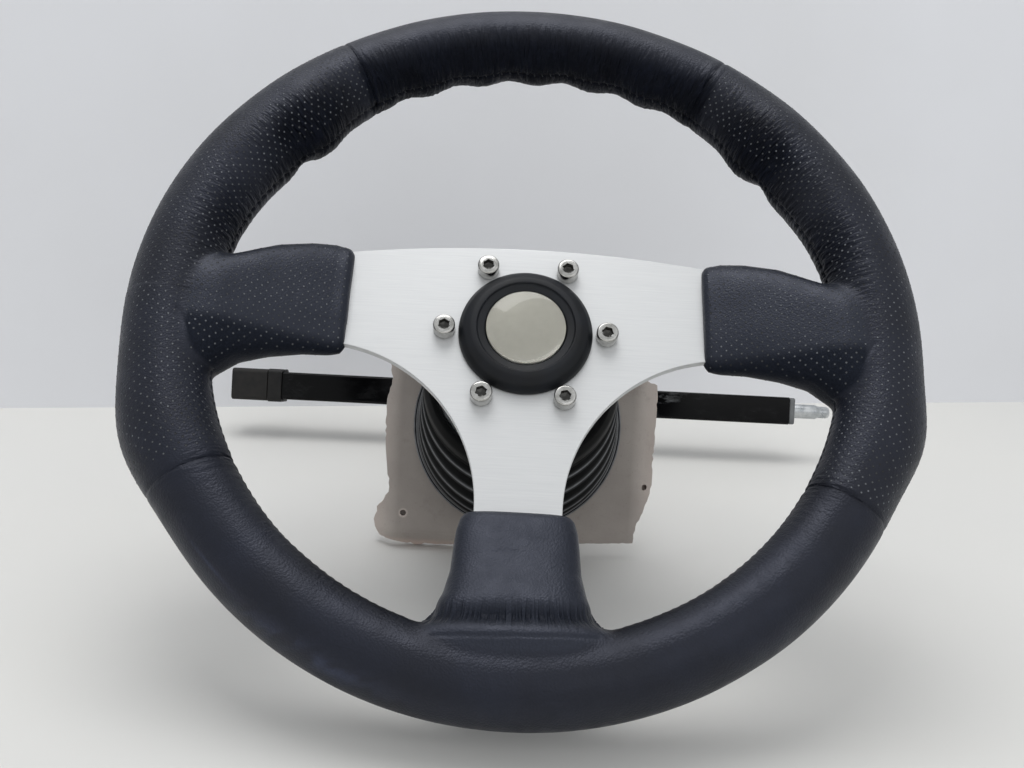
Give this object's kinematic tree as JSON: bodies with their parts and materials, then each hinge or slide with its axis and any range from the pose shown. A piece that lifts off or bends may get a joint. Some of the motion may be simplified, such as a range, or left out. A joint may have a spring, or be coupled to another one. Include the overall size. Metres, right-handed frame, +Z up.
{
  "type": "boat steering helm",
  "caption": "Boat steering helm: leather sport wheel on a tilting head with a rubber boot, a short drive shaft, and a rack and pinion in a square tube behind a dash panel.",
  "frame": {"origin": "the tilt pivot, where the steering axis meets the front face of the dash panel", "axes": "+X along the rack to the cable outlet, +Y away from the driver, +Z up; the helm axis rises 14.7 degrees towards the driver and the wheel axis 38.7 degrees at the stored top notch"},
  "size_m": [0.439, 0.4165, 0.2884],
  "materials": {
    "leather": "stitched and perforated black leather, satin",
    "brushed_aluminium": "brushed across the wheel",
    "raw_aluminium": "as extruded",
    "stainless_steel": "polished",
    "plain_steel": "machined",
    "black_rubber": "matt",
    "black_plastic": "moulded, fine grain",
    "grey_plastic": "moulded",
    "badge_grey": "satin, bare",
    "clear_dome": "clear resin",
    "gelcoat": "worn gelcoat over glass fibre",
    "cast_alloy": "cast, matt",
    "gloss_black_paint": "gloss",
    "bronze": "turned"
  },
  "bodies": {
    "root": {"dash_bolt_1": "stainless_steel", "dash_bolt_2": "stainless_steel", "dash_bolt_3": "stainless_steel", "dash_bolt_4": "stainless_steel", "neck_screw_1": "stainless_steel", "neck_screw_2": "stainless_steel", "neck_screw_3": "stainless_steel", "neck_screw_4": "stainless_steel", "cover_screw_1": "stainless_steel", "cover_screw_2": "stainless_steel", "cover_screw_3": "stainless_steel", "cover_screw_4": "stainless_steel", "cable_fitting": "stainless_steel", "pivot_pin_left": "plain_steel", "pivot_pin_right": "plain_steel", "boot": "black_rubber", "tube_end_cap": "black_plastic", "tube_collar": "black_plastic", "cable_outlet_plug": "grey_plastic", "dash_panel": "gelcoat", "tilt_bracket": "cast_alloy", "helm_housing": "cast_alloy", "rear_cover": "cast_alloy", "rack_tube": "gloss_black_paint", "drive_bush_front": "bronze", "drive_bush_rear": "bronze", "rear_bush": "bronze"},
    "tilt_head": {"tilt_head": "cast_alloy", "head_bearing_rear": "bronze", "head_bearing_front": "bronze", "head_cover": "grey_plastic", "cover_ring": "plain_steel"},
    "latch": {"tilt_lever": "black_plastic", "lever_knob": "black_plastic", "latch_pawl": "plain_steel"},
    "wheel": {"grip_top": "leather", "grip_left": "leather", "grip_bottom": "leather", "grip_right": "leather", "rim_core": "raw_aluminium", "spider": "brushed_aluminium", "hub_adapter": "cast_alloy", "centre_cap": "black_rubber", "centre_badge": "badge_grey", "badge_dome": "clear_dome", "steering_shaft": "plain_steel", "trunnion_pin": "plain_steel", "shaft_washer": "stainless_steel", "shaft_nut": "stainless_steel", "wheel_screw_1": "stainless_steel", "wheel_screw_2": "stainless_steel", "wheel_screw_3": "stainless_steel", "wheel_screw_4": "stainless_steel", "wheel_screw_5": "stainless_steel", "wheel_screw_6": "stainless_steel"},
    "pinion": {"drive_shaft": "plain_steel", "pinion": "plain_steel"},
    "rack": {"rack_bar": "plain_steel", "cable_stud": "stainless_steel"}
  },
  "joints": [
    {"name": "tilt", "type": "hinge", "parent": "root", "child": "tilt_head", "pos_m": [0, 0, 0], "axis": [1, 0, 0], "range_deg": [0, 48], "deforming": ["boot"]},
    {"name": "wheel_spin", "type": "hinge", "parent": "tilt_head", "child": "wheel", "pos_m": [0, -0.08897, 0.07128], "axis": [0, -0.7804, 0.6252], "range_deg": [-540, 540]},
    {"name": "tilt_latch", "type": "hinge", "parent": "tilt_head", "child": "latch", "pos_m": [0, -0.05872, 0.00668], "axis": [-1, 0, 0], "range_deg": [0, 6], "stiffness_Nm_per_rad": 0.3, "springref_deg": -17.19},
    {"name": "pinion_spin", "type": "hinge", "parent": "root", "child": "pinion", "pos_m": [0, 0.17411, -0.04568], "axis": [0, -0.9673, 0.2538], "range_deg": [-540, 540]},
    {"name": "rack_slide", "type": "slide", "parent": "root", "child": "rack", "axis": [1, 0, 0], "range_m": [-0.0898, 0.0898]}
  ],
  "couplings": [
    {"joint": "pinion_spin", "follows": "wheel_spin", "ratio": 1},
    {"joint": "rack_slide", "follows": "wheel_spin", "m_per_rad": -0.009525}
  ]
}
